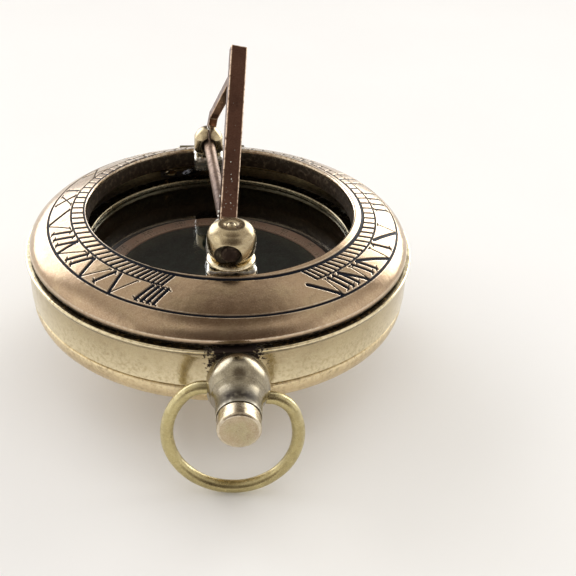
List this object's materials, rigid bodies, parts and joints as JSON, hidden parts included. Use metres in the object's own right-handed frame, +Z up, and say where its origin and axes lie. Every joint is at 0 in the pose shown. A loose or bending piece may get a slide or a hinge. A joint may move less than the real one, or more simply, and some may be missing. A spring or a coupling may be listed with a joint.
{
  "type": "pocket sundial",
  "caption": "Brass pocket sundial: hinged chapter ring with a folding gnomon over a floating-card compass, opened by a push button inside a pendant bow.",
  "frame": {"origin": "centre of the case's flat underside", "axes": "+Z up out of the dial, -Y towards the pendant and push button, +Y towards the lid hinge, +X to the right when the pendant points at the viewer"},
  "size_m": [0.0502, 0.0627, 0.0411],
  "materials": {
    "band_brass": "satin pale yellow brass with small tarnish spots and dark joints",
    "dial_brass": "antiqued copper-pink brass, polished high spots, blue-black engraved lines",
    "bright_brass": "polished pale brass with dark patina in recesses",
    "olive_brass": "satin olive-yellow brass wire",
    "copper_brass": "pinkish satin brass",
    "dark_bronze": "dark reddish-brown patina with bright worn edges and solder splashes",
    "inner_brass": "dull dark-toned brass inside the case",
    "spring_steel": "blued or bare spring steel",
    "black_card": "matt black card",
    "clear_glass": "clear flat glass"
  },
  "bodies": {
    "case": {"case_back": "band_brass", "case_band": "band_brass", "rim_cover_plate": "inner_brass", "compass_bowl": "inner_brass", "compass_glass": "clear_glass", "glass_retaining_ring": "bright_brass", "compass_pivot": "spring_steel", "case_hinge_leaf": "band_brass", "hinge_pin": "bright_brass", "lid_lift_spring": "spring_steel", "lift_spring_rivet": "bright_brass", "pendant_neck": "copper_brass", "pendant_ball": "bright_brass", "button_return_spring": "spring_steel", "latch_guide": "inner_brass", "latch_leaf_spring": "spring_steel"},
    "bow": {"bow_ring": "olive_brass"},
    "button": {"push_button": "copper_brass", "button_stem": "inner_brass", "button_circlip": "spring_steel"},
    "latch": {"latch_slide": "spring_steel"},
    "compass_card": {"card_disc": "black_card", "card_ring": "copper_brass", "card_magnet": "spring_steel", "card_jewel_cap": "bright_brass"},
    "lid": {"dial_ring": "dial_brass", "lid_hinge_leaf": "band_brass", "lid_catch_lug": "bright_brass", "south_post_foot": "bright_brass", "south_post_washer": "bright_brass", "south_post_head": "bright_brass", "north_post_foot": "bright_brass", "north_post_head": "bright_brass"},
    "gnomon": {"gnomon_rod": "dark_bronze", "gnomon_style_bar": "dark_bronze", "gnomon_back_leg": "dark_bronze"}
  },
  "joints": [
    {"name": "lid_hinge", "type": "hinge", "parent": "case", "child": "lid", "pos_m": [0, 0.0263, 0.0083], "axis": [-1, 0, 0], "range_deg": [0, 100]},
    {"name": "gnomon_fold", "type": "hinge", "parent": "lid", "child": "gnomon", "pos_m": [-0.00051, 0, 0.0153], "axis": [-0.0376, 0.9993, 0], "range_deg": [-99, 79], "stiffness_Nm_per_rad": 0.0006},
    {"name": "bow_swing", "type": "hinge", "parent": "case", "child": "bow", "pos_m": [0.00032, -0.02835, 0.0049], "axis": [-0.979, 0.1064, 0.1736], "range_deg": [-34, 198]},
    {"name": "button_push", "type": "slide", "parent": "case", "child": "button", "axis": [0.0558, 0.9984, 0], "range_m": [0, 0.0012], "stiffness_N_per_m": 300},
    {"name": "latch_release", "type": "slide", "parent": "case", "child": "latch", "axis": [0, 1, 0], "range_m": [0, 0.0012]},
    {"name": "card_spin", "type": "hinge", "parent": "case", "child": "compass_card", "pos_m": [0, 0, 0.0015], "axis": [0, 0, 1], "continuous": true}
  ],
  "couplings": [
    {"joint": "latch_release", "follows": "button_push", "ratio": 1}
  ]
}
